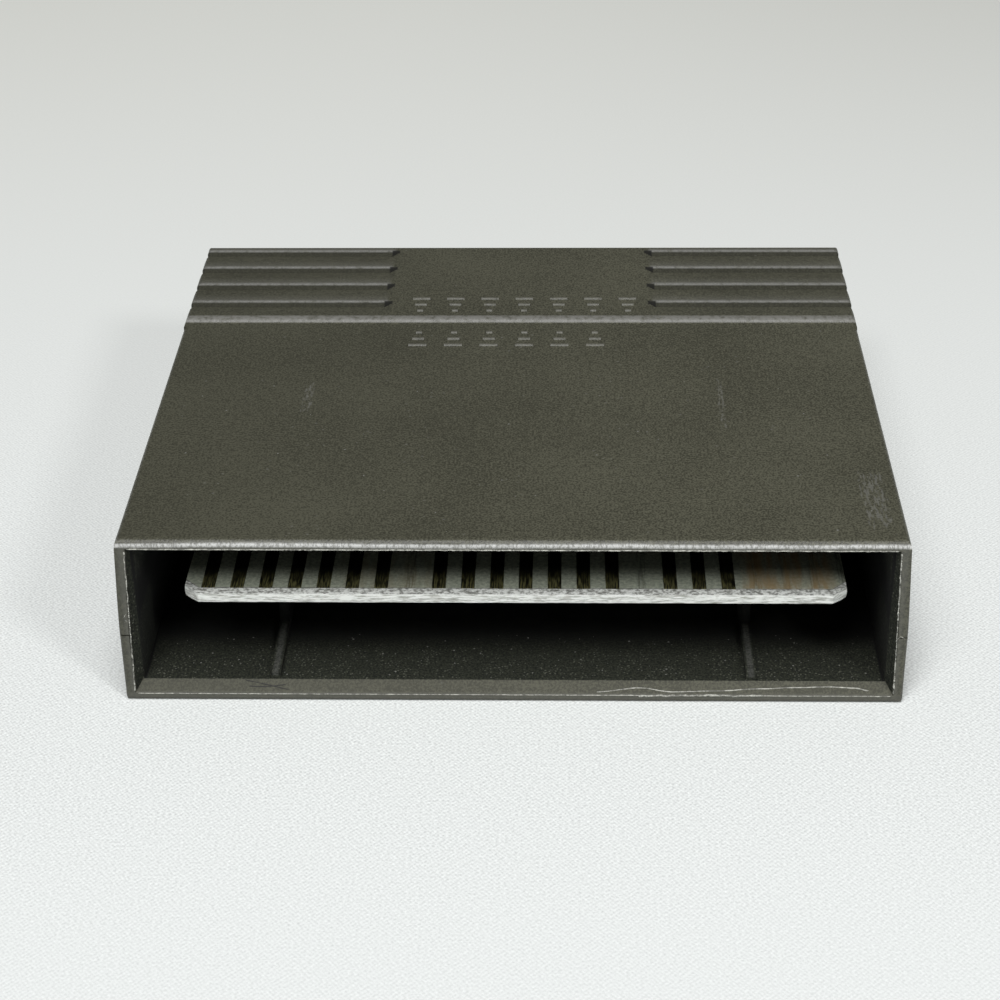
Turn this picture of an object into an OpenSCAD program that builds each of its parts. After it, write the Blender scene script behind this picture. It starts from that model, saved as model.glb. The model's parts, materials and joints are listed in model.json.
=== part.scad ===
// Game cartridge: a moulded two-part shell round a card-edge circuit board.
// The mouth faces -Y, the ribbed finger grips are at the rear, and the part
// lies on its lower shell with the origin at the middle of its underside.

/* [Shell] */
// Width of the shell across its seam
shell_w = 107.25; // [102:0.05:116]
// Depth of the shell from the mouth to the rear
shell_d = 95; // [88:0.5:104]
// Height of the shell in front of the insertion line
shell_h = 25.8; // [24:0.1:30]
// Height of the seam between the lower and the upper shell
seam_z = 10.8; // [9.6:0.1:11.4]
// Thickness of the walls behind the mouth
wall = 2.4; // [2.2:0.1:2.8]
// Lean of the upper side walls, in degrees
upper_lean = 2.4; // [0:0.1:2.5]
// Lean of the lower side walls, in degrees
lower_lean = 0; // [0:0.1:2]
// Rounding along the top side edges
top_r = 0.9; // [0.5:0.1:1.2]
// Rounding along the bottom side edges
bottom_r = 0.8; // [0.4:0.1:1.2]
// Rounding of the upright corners at the rear
rear_corner_r = 1.6; // [0.8:0.1:2.4]
// Rounding of the upright corners at the mouth
mouth_corner_r = 0.5; // [0.3:0.1:1]
// Rounding of the top edge over the mouth
lip_r = 1.1; // [0.6:0.1:1.3]
// Rounding of the bottom edge under the mouth
sill_r = 0.6; // [0.3:0.1:0.9]
// Rounding of the top and bottom edges at the rear
rear_edge_r = 1; // [0.5:0.1:1.3]
// Height and depth of the shadow line along the seam
seam_line = 0.2; // [0.1:0.05:0.3]

/* [Mouth] */
// Thickness of the rim round the mouth
rim = 1.3; // [1.2:0.1:1.8]
// Thickness of the sill under the mouth
sill = 1.1; // [1:0.1:1.6]
// Depth of the lead-in bevel above and below the mouth
bevel_d = 1.8; // [1:0.1:3]
// Depth of the lead-in bevel at the sides of the mouth
side_bevel_d = 2; // [1:0.1:3]
// Height of the tongue that the lower shell holds inside the upper one
tongue_h = 1.2; // [0.8:0.1:1.4]
// Thickness of the tongue
tongue_t = 1; // [0.8:0.1:1.2]
// Distance of the tongue behind the mouth plane
tongue_setback = 4; // [3:0.5:8]

/* [Grip] */
// Distance of the foot of the insertion line behind the mouth
line_d = 66.1; // [62:0.1:68]
// Rise of the grip above the shell top
grip_rise = 0.6; // [0.4:0.05:0.9]
// Number of grooves on each side
groove_count = 4; // [2:1:4]
// Distance from one crest to the next
groove_pitch = 6.58; // [5:0.02:6.6]
// Depth of the grooves in the top and the underside
groove_depth = 0.6; // [0.4:0.05:0.9]
// Depth of the grooves in the side walls
side_groove_depth = 0.5; // [0.3:0.05:0.8]
// Slope of the wall in front of each crest, in degrees
wall_slope = 34; // [25:1:60]
// Length behind each crest where the next tooth starts to bulge
crest_land = 0.5; // [0.3:0.1:1.2]
// Half width of the smooth panel between the grips
panel_half_w = 20.7; // [18:0.1:26]
// Length of the ramp that ends each groove
run_out = 1.1; // [0.8:0.1:2.4]

/* [Arrow marks] */
// Number of arrow marks in front of the insertion line
mouth_marks = 6; // [3:1:6]
// Number of arrow marks behind the insertion line
grip_marks = 7; // [3:1:7]
// Shift of the marks in front of the line from the middle
mouth_mark_shift = -1.9; // [-3:0.1:3]
// Shift of the marks behind the line from the middle
grip_mark_shift = 0.7; // [-3:0.1:3]
// Distance from one arrow mark to the next
mark_pitch = 5.5; // [4:0.1:5.6]
// Number of bars in an arrow mark
bar_count = 3; // [2:1:4]
// Distance from one bar to the next
bar_pitch = 2.2; // [1.8:0.05:2.4]
// Length of the longest bar
bar_l = 2.8; // [1.5:0.1:3]
// Width of a bar
bar_w = 0.8; // [0.5:0.05:0.9]
// Height of a bar
bar_h = 0.28; // [0.15:0.01:0.35]
// Distance of the nearest bar from the insertion line, on the grip side
grip_mark_gap = 3.5; // [2.5:0.1:4]
// Distance of the nearest bar from the insertion line, on the mouth side
mouth_mark_gap = 3.2; // [2:0.1:5]

/* [Board] */
// Height of the underside of the board
board_z = 13.8; // [13:0.1:14.2]
// Width of the board
board_w = 90.6; // [89:0.1:91.5]
// Depth of the board
board_d = 62; // [58:0.5:66]
// Thickness of the board
board_t = 1.7; // [1.4:0.1:1.8]
// Distance of the board edge behind the mouth
board_recess = 3.5; // [2.5:0.1:6]
// Shift of the board to the right of the middle
board_shift = 0.3; // [0:0.1:0.5]
// Corner cut at the front of the board
board_corner = 2; // [1:0.1:3]
// Length of the bevel on the front edge of the board
board_nose = 1.1; // [0.8:0.1:1.6]
// Depth of the bevel into each face of the board
board_nose_cut = 0.2; // [0.1:0.05:0.6]

/* [Contacts] */
// Number of contact positions along the edge
contact_count = 22; // [18:1:22]
// Distance from one contact to the next
contact_pitch = 3.96; // [3.8:0.01:4]
// Width of a contact
contact_w = 1.85; // [1.6:0.05:2.2]
// Length of a contact
contact_l = 9.5; // [7:0.5:11]
// Thickness of a contact
contact_t = 0.08; // [0.05:0.01:0.12]
// Shift of the contact row from the middle of the board
contact_shift = -0.47; // [-0.8:0.01:0.8]
// Distance of the contacts behind the bevel of the board
contact_gap = 0.1; // [0.05:0.05:0.5]

/* [Chips] */
// Length of a chip body
chip_l = 31.8; // [31:0.1:33]
// Width of a chip body
chip_w = 13.8; // [13:0.1:14.4]
// Height of a chip body
chip_h = 3.8; // [3.4:0.1:4.2]
// Inset of the top and bottom of a chip body from its widest line
chip_slope = 0.35; // [0.2:0.05:0.5]
// Diameter of the notch that marks the first leg
notch_dia = 2.4; // [1.6:0.1:3]
// Depth of the notch
notch_depth = 0.8; // [0.4:0.1:1]
// Clear height under a chip body
chip_standoff = 0.7; // [0.4:0.1:1]
// Number of legs along one side of a chip
leg_count = 12; // [8:1:12]
// Distance from one leg to the next
leg_pitch = 2.54; // [2.5:0.01:2.6]
// Distance of each row of legs beside the chip body
leg_reach = 0.72; // [0.5:0.02:1]
// Thickness of the leg metal
leg_t = 0.25; // [0.2:0.01:0.3]
// Width of a leg at its shoulder
leg_shoulder_w = 1.3; // [1:0.1:1.6]
// Width of a leg where it enters the board
leg_tip_w = 0.5; // [0.4:0.05:0.6]
// Distance of each chip centre from the middle of the board
chip_x = 22; // [21.5:0.1:23]
// Distance of the chip centres behind the front edge of the board
chip_y = 39; // [35:0.5:41]

/* [Capacitors] */
// Clear height over a capacitor disc
cap_gap = 1.4; // [1:0.1:2.4]
// Thickness of a capacitor disc
cap_t = 2.2; // [1.8:0.1:2.4]
// Clear height under a capacitor disc
cap_standoff = 1; // [0.5:0.1:1.5]
// Distance between the two legs of a capacitor
cap_leg_gap = 2.54; // [2:0.01:3]
// Diameter of a capacitor leg
cap_leg_dia = 0.5; // [0.4:0.05:0.6]
// Distance of the capacitors behind the front edge of the board
cap_y = 52; // [51:0.5:54]

/* [Fixings] */
// Distance of the case screw behind the mouth
screw_d = 44.5; // [40:0.5:46]
// Diameter of the screw head
head_dia = 5.8; // [5:0.1:6.2]
// Height of the screw head
head_h = 2.2; // [1.8:0.1:2.6]
// Height of the floor that the screw head bears on
head_seat_z = 7.6; // [6.6:0.1:8]
// Width of the slots in the screw head
slot_w = 0.7; // [0.5:0.1:0.9]
// Depth of the slots in the screw head
slot_depth = 1.3; // [0.8:0.1:1.5]
// Diameter of the screw shank
shank_dia = 2.8; // [2.4:0.1:3]
// Diameter of the threaded core
core_dia = 2.3; // [2:0.1:2.4]
// Length of the screw under its head
screw_l = 10; // [8:0.5:11]
// Outer diameter of the lower screw tube
tube_dia = 9.4; // [9:0.1:10]
// Outer diameter of the upper screw boss
boss_dia = 6.4; // [5.6:0.1:6.6]
// Width of the rails under the board
rail_w = 1.4; // [1.2:0.1:2]
// Distance of each rail from the middle
rail_x = 32.9; // [31:0.1:34]
// Height of the low front part of a rail
rail_low_h = 1; // [0.6:0.1:1.4]
// Length of the low front part of a rail
rail_low_l = 13; // [10:0.5:14]
// Diameter of the locating posts
post_dia = 5; // [4:0.1:6]
// Diameter of the pin on a locating post
pin_dia = 2.8; // [2.2:0.1:3]
// Distance of the locating posts inside the sides of the board
post_inset = 5.3; // [4:0.1:7]
// Distance of the locating posts behind the front edge of the board
post_y = 56; // [50:0.5:57]
// Distance of the hold-down posts behind the front edge of the board
hold_y = 24; // [22:0.5:27]
// Height of a solder joint under the board
joint_h = 0.8; // [0.5:0.1:1]
// Diameter of a solder joint
joint_dia = 1.7; // [1.4:0.1:1.9]
// Gap between parts that slide into or past each other
fit = 0.1; // [0.05:0.05:0.2]

/* [Hidden] */
$fn = 48;
// Overrun of cutters past the faces they cut
over = 1;
// Depth by which the upper side faces lie inside the round that they run into
tuck = 0.002;
// Slope of the insertion line, in degrees
line_slope = 45;
// Height over a face from which the bulge of a tooth leaves it at a slight angle
bulge_lift = 0.02;
// Ends of the shell, the insertion line and the grip behind it
front_y = -shell_d / 2;
rear_y = shell_d / 2;
line_y = front_y + line_d;
grip_h = shell_h + grip_rise;
// Rounding of the insertion line and of its foot, and their lengths along Y
line_r = 2 * grip_rise;
foot_r = grip_rise;
line_run = line_r * sin(line_slope);
foot_run = foot_r * sin(line_slope);
line_drop = line_r * (1 - cos(line_slope));
foot_climb = foot_r * (1 - cos(line_slope));
line_l = line_run + foot_run + (grip_rise - line_drop - foot_climb) / tan(line_slope);
// Faces of the board and of the hollow round it
board_front = front_y + board_recess;
board_top = board_z + board_t;
cavity_half_w = shell_w / 2 - wall;
mouth_half_w = shell_w / 2 - rim;
cavity_top = shell_h - wall;
cavity_rear = rear_y - wall;
contact_front = board_front + board_nose + contact_gap;
cap_dia = cavity_top - board_top - cap_standoff - cap_gap;
post_x = board_w / 2 - post_inset;
leg_rows = chip_w + 2 * leg_reach;
// Holes, each wider than what passes through it
leg_hole_dia = leg_tip_w + 3 * fit;
cap_hole_dia = cap_leg_dia + 2 * fit;
pin_hole_dia = pin_dia + 4 * fit;
boss_hole_dia = boss_dia + 10 * fit;
pilot_dia = core_dia + 2 * fit;
shank_hole_dia = shank_dia + 6 * fit;
head_hole_dia = head_dia + 10 * fit;
// Places of the rail ends and the screw
rail_end = board_front + chip_y - leg_rows / 2 - joint_dia;
screw_y = front_y + screw_d;
// Contact positions that carry no pad on the top of the board
TOP_BARE = [8, 16, 20, 21, 22];

// Half width of the outside at a height above the seam
function upper_half_w(z) = shell_w / 2 - (z - seam_z) * tan(upper_lean);

// Half width of the outside at a height below the seam
function lower_half_w(z) = shell_w / 2 - (seam_z - z) * tan(lower_lean);

// X of a contact position, counted from 1 at the left
function contact_x(i) =
    board_shift + contact_shift + (i - (contact_count + 1) / 2) * contact_pitch;

// Region outside a quarter circle that rounds a corner at the origin
module corner_cut(r) {
    difference() {
        translate([-over, -over]) square(r + over);
        translate([r, r]) circle(r);
    }
}

// Region in front of the smooth step up to the grip, whose foot is at the origin
module line_cut() {
    difference() {
        union() {
            polygon([
                [-over, 0], [0, 0], [foot_run, foot_climb],
                [line_l - line_run, grip_rise - line_drop], [line_l, grip_rise],
                [line_l, grip_rise + over], [-over, grip_rise + over]
            ]);
            translate([0, foot_r]) circle(foot_r);
        }
        translate([line_l, grip_rise - line_r]) circle(line_r);
    }
}

// Front view of the outside, up to the height h
module front_outline(h) {
    upper_x = upper_half_w(h - top_r) - top_r / cos(upper_lean);
    lower_x = lower_half_w(bottom_r) - bottom_r / cos(lower_lean);
    inner_r = top_r - tuck;
    upper_edge = [upper_x + inner_r * cos(upper_lean), h - top_r + inner_r * sin(upper_lean)];
    lower_edge = [lower_x + bottom_r * cos(lower_lean), bottom_r - bottom_r * sin(lower_lean)];
    for (side = [0, 1]) mirror([side, 0]) {
        polygon([
            [-over, 0], [lower_x, 0], lower_edge, [shell_w / 2, seam_z],
            upper_edge, [upper_x, h], [-over, h]
        ]);
        translate([upper_x, h - top_r]) circle(top_r);
        translate([lower_x, bottom_r]) circle(bottom_r);
    }
}

// Plan of the outside with rounded upright corners, drawn in by inset
module plan_outline(inset) {
    half = shell_w / 2 - inset;
    difference() {
        translate([-half, front_y + inset]) square([2 * half, shell_d - 2 * inset]);
        for (side = [0, 1]) mirror([side, 0]) {
            translate([-half, front_y + inset]) corner_cut(mouth_corner_r);
            translate([-half, rear_y - inset]) mirror([0, 1]) corner_cut(rear_corner_r);
        }
    }
}

// Shadow line cut into the lower shell right under the seam
module seam_cut() {
    translate([0, 0, seam_z - seam_line]) linear_extrude(height = seam_line + over) difference() {
        square(2 * (shell_w + shell_d), center = true);
        plan_outline(seam_line);
    }
}

// Lays a drawing whose axes are Y and Z across the width w
module across(w) {
    rotate([90, 0, 90]) linear_extrude(height = w, center = true) children();
}

// Stretch of the outside from y0 to y1 with the height h
module stretch(h, y0, y1) {
    translate([0, y1, 0]) rotate([90, 0, 0]) linear_extrude(height = y1 - y0) front_outline(h);
}

// Side view of the outside, from which the long edges take their rounding
module side_outline() {
    difference() {
        union() {
            translate([front_y, 0]) square([shell_d, shell_h]);
            translate([line_y, 0]) square([rear_y - line_y, grip_h]);
        }
        translate([front_y, shell_h]) mirror([0, 1]) corner_cut(lip_r);
        translate([front_y, 0]) corner_cut(sill_r);
        translate([rear_y, 0]) mirror([1, 0]) corner_cut(rear_edge_r);
        translate([rear_y, grip_h]) mirror([1, 0]) mirror([0, 1]) corner_cut(rear_edge_r);
        translate([line_y, shell_h]) line_cut();
    }
}

// One groove across the Y axis: a steep wall in front of its crest and the bulging
// tooth before it. Z runs out of the surface from 0.
module groove_outline(depth) {
    reach = groove_pitch - crest_land;
    wall_run = depth / tan(wall_slope);
    run = reach - wall_run;
    drop = depth + bulge_lift;
    bulge_r = (run * run + drop * drop) / (2 * drop);
    difference() {
        polygon([
            [2 * wall_run, 2 * depth], [-2 * wall_run, -2 * depth],
            [-reach, -2 * depth], [-reach, 2 * depth]
        ]);
        translate([-reach, bulge_lift - bulge_r]) circle(bulge_r);
    }
}

// One groove along the right half of a face, ended by a ramp at its inner end
module face_groove() {
    ramp = atan(run_out / groove_depth);
    x0 = panel_half_w - 3 * run_out;
    difference() {
        translate([x0, 0, 0]) rotate([90, 0, 90])
            linear_extrude(height = shell_w / 2 + over - x0) groove_outline(groove_depth);
        translate([panel_half_w, 0, 0]) rotate([0, -ramp, 0])
            translate([-shell_w, -2 * groove_pitch, -shell_h])
                cube([shell_w, 4 * groove_pitch, 2 * shell_h]);
    }
}

// One groove down a right side wall, whose surface passes through the Y axis
module wall_groove() {
    rotate([0, 0, 90]) mirror([0, 1, 0])
        linear_extrude(height = 4 * shell_h, center = true) groove_outline(side_groove_depth);
}

// Places its child at the crest behind each groove, on both sides
module at_crests() {
    for (i = [1 : groove_count], side = [0, 1]) mirror([side, 0, 0])
        translate([0, line_y + line_l / 2 + i * groove_pitch, 0]) children();
}

// Grooves of both grips in the side walls, which lean by tilt from the seam
module wall_grooves(tilt) {
    at_crests() translate([shell_w / 2, 0, seam_z]) rotate([0, tilt, 0]) wall_groove();
}

// The outside of the closed shell
module outside() {
    intersection() {
        union() {
            stretch(shell_h, front_y, rear_y);
            stretch(grip_h, line_y - over, rear_y);
        }
        linear_extrude(height = grip_h) plan_outline(0);
        across(2 * shell_w) side_outline();
    }
}

// Upright block bounded by the right wall of the hollow, with the bevel of the mouth,
// that leans by tilt from the seam
module right_of_hollow(tilt) {
    translate([shell_w / 2, 0, seam_z]) rotate([0, tilt, 0]) translate([-shell_w / 2, 0, 0])
        linear_extrude(height = 4 * shell_h, center = true) polygon([
            [-shell_w, front_y - over], [-shell_w, rear_y], [cavity_half_w, rear_y],
            [cavity_half_w, front_y + side_bevel_d], [mouth_half_w, front_y],
            [mouth_half_w, front_y - over]
        ]);
}

// The hollow inside, whose side walls lean by tilt from the seam
module cavity(tilt) {
    intersection() {
        right_of_hollow(tilt);
        mirror([1, 0, 0]) right_of_hollow(tilt);
        across(2 * shell_w) polygon([
            [front_y - over, sill], [front_y, sill], [front_y + bevel_d, wall],
            [cavity_rear, wall], [cavity_rear, cavity_top], [front_y + bevel_d, cavity_top],
            [front_y, shell_h - rim], [front_y - over, shell_h - rim]
        ]);
    }
}

// Block whose rim is the tongue inside the walls, grown by gap
module tongue_block(gap) {
    outer = cavity_half_w + tongue_t + gap;
    y0 = front_y + tongue_setback - gap;
    translate([-outer, y0, seam_z - over])
        cube([2 * outer, cavity_rear + tongue_t + gap - y0, over + tongue_h + gap]);
}

// U-shaped tongue that stands on the seam inside the walls
module tongue() {
    difference() {
        tongue_block(0);
        translate([-cavity_half_w, front_y, 0])
            cube([2 * cavity_half_w, cavity_rear - front_y, 2 * shell_h]);
    }
}

// Everything above the seam
module above_seam() {
    translate([-shell_w, -shell_d, seam_z]) cube([2 * shell_w, 2 * shell_d, 2 * shell_h]);
}

// Everything below the seam
module below_seam() {
    translate([-shell_w, -shell_d, seam_z - 2 * shell_h])
        cube([2 * shell_w, 2 * shell_d, 2 * shell_h]);
}

// One raised arrow mark that points along +Y, made of bars that shorten to its tip
module arrow_mark() {
    bar_r = (bar_w * bar_w / 4 + bar_h * bar_h) / (2 * bar_h);
    for (i = [0 : bar_count - 1])
        translate([0, -i * bar_pitch, bar_h - bar_r]) rotate([0, 90, 0])
            cylinder(h = bar_l * (i + 1) / bar_count, r = bar_r, center = true);
}

// Row of arrow marks that point along +Y, with their tips at the origin
module mark_row(count) {
    for (i = [0 : count - 1]) translate([(i - (count - 1) / 2) * mark_pitch, 0, 0]) arrow_mark();
}

// Two rows of arrow marks that point at the insertion line
module arrow_marks() {
    translate([mouth_mark_shift, line_y - mouth_mark_gap, shell_h]) mark_row(mouth_marks);
    translate([grip_mark_shift, line_y + grip_mark_gap, grip_h]) mirror([0, 1, 0])
        mark_row(grip_marks);
}

// Rail on the floor on one side, low near the mouth and then up to the board
module rail() {
    y0 = front_y + bevel_d;
    y1 = y0 + rail_low_l;
    translate([rail_x, 0, 0]) across(rail_w) polygon([
        [y0, wall - over], [y0, wall + rail_low_h], [y1, wall + rail_low_h],
        [y1, board_z], [rail_end, board_z], [rail_end, wall - over]
    ]);
}

// Post on the floor whose pin locates the board
module locating_post() {
    translate([post_x, board_front + post_y, wall / 2]) {
        cylinder(h = board_z - wall / 2, d = post_dia);
        cylinder(h = board_top - 2 * fit - wall / 2, d = pin_dia);
    }
}

// Lower half of the shell, with the sill of the mouth
module lower_shell() {
    color("#3a3b31") difference() {
        union() {
            difference() {
                intersection() {
                    outside();
                    below_seam();
                }
                cavity(lower_lean);
            }
            tongue();
            for (side = [0, 1]) mirror([side, 0, 0]) {
                rail();
                locating_post();
            }
            translate([0, screw_y, wall / 2]) cylinder(h = seam_z - wall / 2, d = tube_dia);
        }
        mirror([0, 0, 1]) at_crests() face_groove();
        wall_grooves(lower_lean);
        seam_cut();
        translate([0, screw_y, -over]) cylinder(h = head_seat_z + over, d = head_hole_dia);
        translate([0, screw_y, 0]) cylinder(h = seam_z + over, d = shank_hole_dia);
    }
}

// Post under the roof that holds the board down
module hold_down_post(y) {
    translate([post_x, y, board_top + fit])
        cylinder(h = cavity_top - board_top - fit + over / 2, d = post_dia);
}

// Upper half of the shell, with the lip of the mouth and the insertion line
module upper_shell() {
    color("#3a3b31") difference() {
        union() {
            difference() {
                intersection() {
                    outside();
                    above_seam();
                }
                cavity(-upper_lean);
                tongue_block(fit);
            }
            for (side = [0, 1]) mirror([side, 0, 0]) {
                hold_down_post(board_front + hold_y);
                hold_down_post(board_front + post_y);
            }
            translate([0, screw_y, seam_z])
                cylinder(h = cavity_top - seam_z + over / 2, d = boss_dia);
            arrow_marks();
        }
        translate([0, 0, grip_h]) at_crests() face_groove();
        wall_grooves(-upper_lean);
        translate([0, screw_y, seam_z - over])
            cylinder(h = screw_l + over, d = pilot_dia);
    }
}

// Places its child at the middle of one chip, on the top of the board
module at_chip(side) {
    translate([board_shift + side * chip_x, board_front + chip_y, board_top]) children();
}

// Places its child at the middle of one capacitor, on the top of the board
module at_capacitor(side) {
    translate([board_shift + side * chip_x, board_front + cap_y, board_top]) children();
}

// Places its child at each leg of a chip, with +Y pointing away from the body
module at_legs() {
    for (i = [0 : leg_count - 1], row = [0, 1]) mirror([0, row, 0])
        translate([(i - (leg_count - 1) / 2) * leg_pitch, leg_rows / 2, 0]) children();
}

// Laminate with a bevelled card edge, cut corners and drilled holes
module circuit_board() {
    left = board_shift - board_w / 2;
    right = board_shift + board_w / 2;
    rear = board_front + board_d;
    color("#a9aba0") difference() {
        intersection() {
            translate([0, 0, board_z]) linear_extrude(height = board_t) polygon([
                [left + board_corner, board_front], [right - board_corner, board_front],
                [right, board_front + board_corner], [right, rear], [left, rear],
                [left, board_front + board_corner]
            ]);
            across(2 * board_w) polygon([
                [board_front, board_z + board_nose_cut], [board_front, board_top - board_nose_cut],
                [board_front + board_nose, board_top], [rear, board_top], [rear, board_z],
                [board_front + board_nose, board_z]
            ]);
        }
        for (side = [-1, 1]) {
            at_chip(side) at_legs() hole(leg_hole_dia);
            at_capacitor(side) at_cap_legs() hole(cap_hole_dia);
            translate([side * post_x, board_front + post_y, board_top]) hole(pin_hole_dia);
        }
        translate([0, screw_y, board_top]) hole(boss_hole_dia);
    }
}

// Hole through the board from its top
module hole(dia) {
    translate([0, 0, -board_t - over]) cylinder(h = board_t + 2 * over, d = dia, $fn = 24);
}

// One contact pad on a face of the board
module contact(i) {
    translate([contact_x(i) - contact_w / 2, contact_front, 0])
        cube([contact_w, contact_l, contact_t]);
}

// Contact pads on the top of the board
module top_contacts() {
    color("#2b2a14") for (i = [1 : contact_count])
        if (len(search(i, TOP_BARE)) == 0) translate([0, 0, board_top]) contact(i);
}

// Contact pads on the underside of the board
module bottom_contacts() {
    color("#2b2a14") for (i = [1 : contact_count])
        translate([0, 0, board_z - contact_t]) contact(i);
}

// Body of one chip, widest at the height of its legs, with a notch at one end
module chip_body(side) {
    mid = chip_standoff + chip_h / 2;
    top = chip_standoff + chip_h;
    color("#1e1e1f") at_chip(side) difference() {
        rotate([90, 0, 90]) linear_extrude(height = chip_l, center = true) polygon([
            [-chip_w / 2, mid], [chip_slope - chip_w / 2, top], [chip_w / 2 - chip_slope, top],
            [chip_w / 2, mid], [chip_w / 2 - chip_slope, chip_standoff],
            [chip_slope - chip_w / 2, chip_standoff]
        ]);
        translate([-chip_l / 2, 0, top - notch_depth]) cylinder(h = notch_depth + over, d = notch_dia);
    }
}

// One leg of a chip: a shoulder, a wide blade and a narrow tip in the board
module leg() {
    mid = chip_standoff + chip_h / 2;
    translate([-leg_shoulder_w / 2, -leg_reach, mid - leg_t / 2])
        cube([leg_shoulder_w, leg_reach + leg_t / 2, leg_t]);
    translate([-leg_shoulder_w / 2, -leg_t / 2, chip_standoff])
        cube([leg_shoulder_w, leg_t, mid + leg_t / 2 - chip_standoff]);
    translate([-leg_tip_w / 2, -leg_t / 2, -board_t])
        cube([leg_tip_w, leg_t, board_t + chip_standoff + leg_t]);
}

// Legs of one chip
module chip_legs(side) {
    color("#b9bbbd") at_chip(side) at_legs() leg();
}

// Places its child at each leg of a capacitor
module at_cap_legs() {
    for (x = [-cap_leg_gap / 2, cap_leg_gap / 2]) translate([x, 0, 0]) children();
}

// Wire legs of one capacitor, thinner or thicker by grow
module cap_legs(grow) {
    at_cap_legs() translate([0, 0, -board_t])
        cylinder(h = board_t + cap_standoff + cap_dia / 3, d = cap_leg_dia + grow, $fn = 24);
}

// Disc of one capacitor, dipped round its legs
module capacitor(side) {
    color("#b98a4e") at_capacitor(side) difference() {
        translate([0, 0, cap_standoff + cap_dia / 2]) rotate([90, 0, 0]) rotate_extrude() {
            translate([0, -cap_t / 2]) square([cap_dia / 2 - cap_t / 2, cap_t]);
            intersection() {
                translate([cap_dia / 2 - cap_t / 2, 0]) circle(cap_t / 2);
                translate([0, -cap_t]) square([cap_dia, 2 * cap_t]);
            }
        }
        cap_legs(fit / 2);
    }
}

// Solder joints under the board, one at each leg
module solder_joints() {
    color("#c3c5c6") for (side = [-1, 1]) {
        at_chip(side) at_legs() solder_joint();
        at_capacitor(side) at_cap_legs() solder_joint();
    }
}

// One solder joint, a cone that hangs from the underside of the board
module solder_joint() {
    translate([0, 0, -board_t - joint_h])
        cylinder(h = joint_h, d1 = joint_dia / 3, d2 = joint_dia, $fn = 16);
}

// Self-tapping screw that closes the case from below
module case_screw() {
    color("#8d8f90") translate([0, screw_y, head_seat_z]) difference() {
        union() {
            translate([0, 0, -head_h]) cylinder(h = head_h, d = head_dia);
            cylinder(h = seam_z - head_seat_z, d = shank_dia);
            cylinder(h = screw_l - core_dia, d = core_dia);
            translate([0, 0, screw_l - core_dia])
                cylinder(h = core_dia, d1 = core_dia, d2 = core_dia / 4);
        }
        for (turn = [0, 90]) rotate([0, 0, turn])
            translate([-head_dia / 4, -slot_w / 2, -head_h - over])
                cube([head_dia / 2, slot_w, over + slot_depth]);
    }
}

lower_shell();
upper_shell();
circuit_board();
top_contacts();
bottom_contacts();
chip_body(-1);  // left_chip
chip_legs(-1);  // left_chip_legs
chip_body(1);  // right_chip
chip_legs(1);  // right_chip_legs
capacitor(-1);  // left_capacitor
color("#b9bbbd") at_capacitor(-1) cap_legs(0);  // left_capacitor_legs
capacitor(1);  // right_capacitor
color("#b9bbbd") at_capacitor(1) cap_legs(0);  // right_capacitor_legs
solder_joints();
case_screw();
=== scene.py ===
import json
import math
import random

import bpy
from mathutils import Matrix, Vector, noise


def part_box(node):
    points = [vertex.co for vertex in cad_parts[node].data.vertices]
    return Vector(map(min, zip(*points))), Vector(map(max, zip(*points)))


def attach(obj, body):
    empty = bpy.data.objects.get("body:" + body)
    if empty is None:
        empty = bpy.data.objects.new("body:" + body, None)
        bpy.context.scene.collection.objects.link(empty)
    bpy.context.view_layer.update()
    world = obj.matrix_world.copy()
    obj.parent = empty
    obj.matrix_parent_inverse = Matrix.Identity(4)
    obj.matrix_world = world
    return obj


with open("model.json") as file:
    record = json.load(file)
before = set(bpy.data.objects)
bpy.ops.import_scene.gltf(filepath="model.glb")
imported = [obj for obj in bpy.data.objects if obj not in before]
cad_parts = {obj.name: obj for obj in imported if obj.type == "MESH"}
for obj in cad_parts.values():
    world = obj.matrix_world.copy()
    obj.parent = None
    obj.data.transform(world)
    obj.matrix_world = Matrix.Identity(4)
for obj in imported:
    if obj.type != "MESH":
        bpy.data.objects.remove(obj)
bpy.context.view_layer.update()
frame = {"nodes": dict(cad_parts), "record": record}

MM = 0.001
BODY = "root"
SEED = 11

# Strength of the room's light and power of the three lamps
ROOM = 0.1
KEY_WATTS = 4.4
BROAD_WATTS = 7.4
OVERHEAD_WATTS = 12.9


def millimetres(node):
    """Lowest and highest corner of a CAD node, in millimetres."""
    low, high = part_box(node)
    return low / MM, high / MM


# Places in millimetres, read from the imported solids, with the part's own sizes where no box shows them
LOWER, UPPER, BOARD = (millimetres(n) for n in ("lower_shell", "upper_shell", "circuit_board"))
FRONT, REAR = LOWER[0].y, LOWER[1].y
HALF_W = LOWER[1].x
SHELL_TOP = 25.8
GRIP_TOP = 26.4
SEAM = UPPER[0].z
LINE_Y = FRONT + 66.1
LINE_LENGTH = 1.35
CREST_Y = LINE_Y + LINE_LENGTH / 2
GROOVE_PITCH = 6.58
PANEL_HALF_W = 20.7
LIP_R = 1.1
RIM = 1.3
SILL = 1.1
BEVEL = 1.8
MOUTH_HALF_W = 52.325
WALL = 2.4
DRAFT = math.radians(2.4)
RAIL_X = 32.9
RAIL_LENGTH = 13.0
BOARD_FRONT = BOARD[0].y
BOARD_TOP = BOARD[1].z
BOARD_BOTTOM = BOARD[0].z
NOSE = 1.1
CUT = 2.0
CONTACT_PITCH = 3.96
CONTACT_HALF_W = 0.925
FIRST_CONTACT_X = millimetres("bottom_contacts")[0].x + CONTACT_HALF_W


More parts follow.
